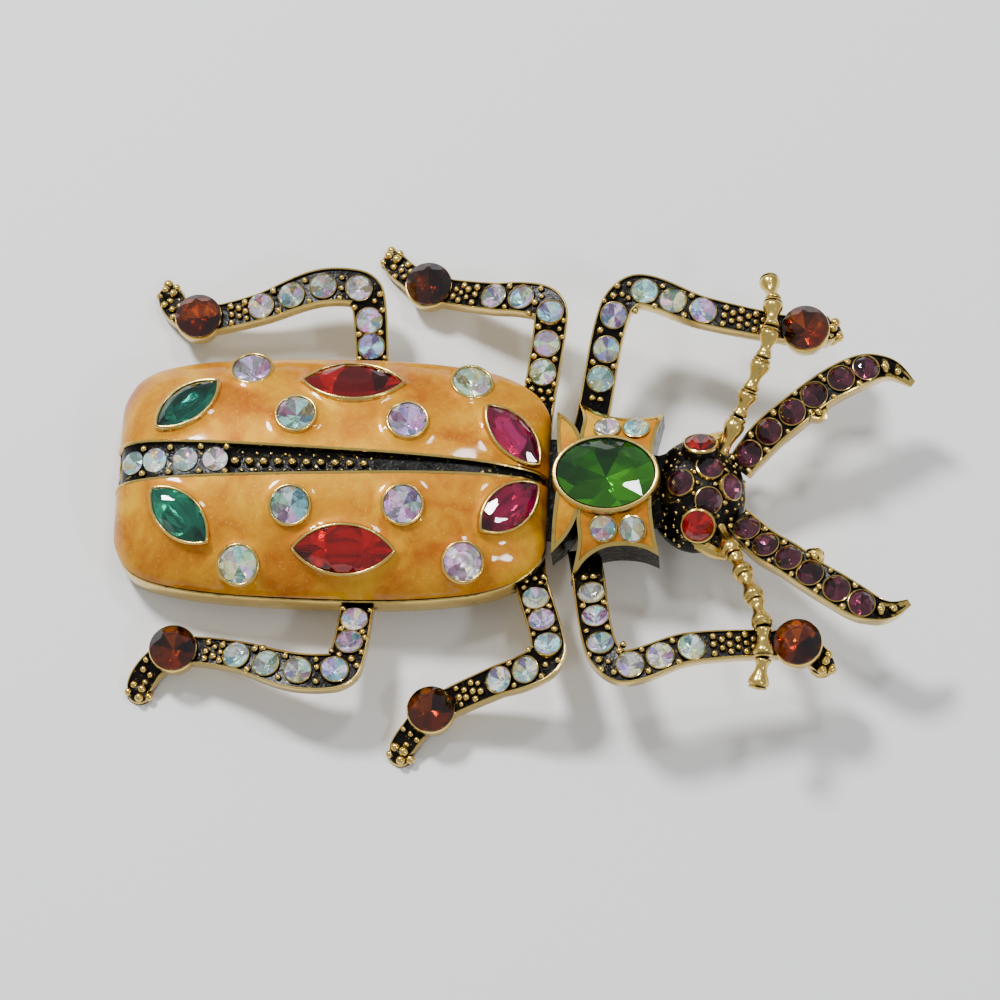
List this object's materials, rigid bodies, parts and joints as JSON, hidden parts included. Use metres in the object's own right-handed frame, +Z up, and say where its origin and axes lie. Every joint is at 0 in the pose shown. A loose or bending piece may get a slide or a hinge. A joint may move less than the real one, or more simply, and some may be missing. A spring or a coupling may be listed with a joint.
{
  "type": "insect brooch",
  "caption": "Stag beetle brooch in antique gold, with pearly orange enamel wings, faceted glass stones on body, legs and mandibles, and a pin finding on the back.",
  "frame": {"origin": "centre of the underside of the bounding box, on the surface that the brooch lies on", "axes": "+X along the body towards the mandibles, +Y towards the beetle's left side, +Z up out of the surface"},
  "size_m": [0.0802, 0.055, 0.0129],
  "materials": {
    "antique_gold": "antique gold plate, darkened in the hollows",
    "orange_enamel": "glossy pearly orange and yellow enamel",
    "pin_steel": "satin gold plate",
    "green_glass": "faceted, foiled",
    "teal_glass": "faceted, foiled",
    "red_glass": "faceted, foiled",
    "fuchsia_glass": "faceted, foiled",
    "plum_glass": "faceted, foiled",
    "brown_glass": "faceted, foiled",
    "aurora_crystal": "faceted, foiled, aurora borealis coating"
  },
  "bodies": {
    "root": {"casting": "antique_gold", "enamel_wing_left": "orange_enamel", "enamel_wing_right": "orange_enamel", "enamel_collar_left": "orange_enamel", "enamel_collar_right": "orange_enamel", "pin_back": "pin_steel", "collar_oval": "green_glass", "collar_crystals": "aurora_crystal", "green_navette_left": "teal_glass", "green_navette_right": "teal_glass", "red_navette_left": "red_glass", "red_navette_right": "red_glass", "fuchsia_navette_left": "fuchsia_glass", "fuchsia_navette_right": "fuchsia_glass", "wing_crystal_left_1": "aurora_crystal", "wing_crystal_left_2": "aurora_crystal", "wing_crystal_left_3": "aurora_crystal", "wing_crystal_left_4": "aurora_crystal", "wing_crystal_right_1": "aurora_crystal", "wing_crystal_right_2": "aurora_crystal", "wing_crystal_right_3": "aurora_crystal", "wing_crystal_right_4": "aurora_crystal", "eye_left": "red_glass", "eye_right": "red_glass", "head_stones": "plum_glass", "tail_crystals": "aurora_crystal", "mandible_stones_left": "plum_glass", "mandible_stones_right": "plum_glass", "front_leg_crystals_left": "aurora_crystal", "middle_leg_crystals_left": "aurora_crystal", "hind_leg_crystals_left": "aurora_crystal", "front_leg_crystals_right": "aurora_crystal", "middle_leg_crystals_right": "aurora_crystal", "hind_leg_crystals_right": "aurora_crystal", "front_brown_left": "brown_glass", "middle_brown_left": "brown_glass", "hind_brown_left": "brown_glass", "front_brown_right": "brown_glass", "middle_brown_right": "brown_glass", "hind_brown_right": "brown_glass"}
  },
  "joints": []
}
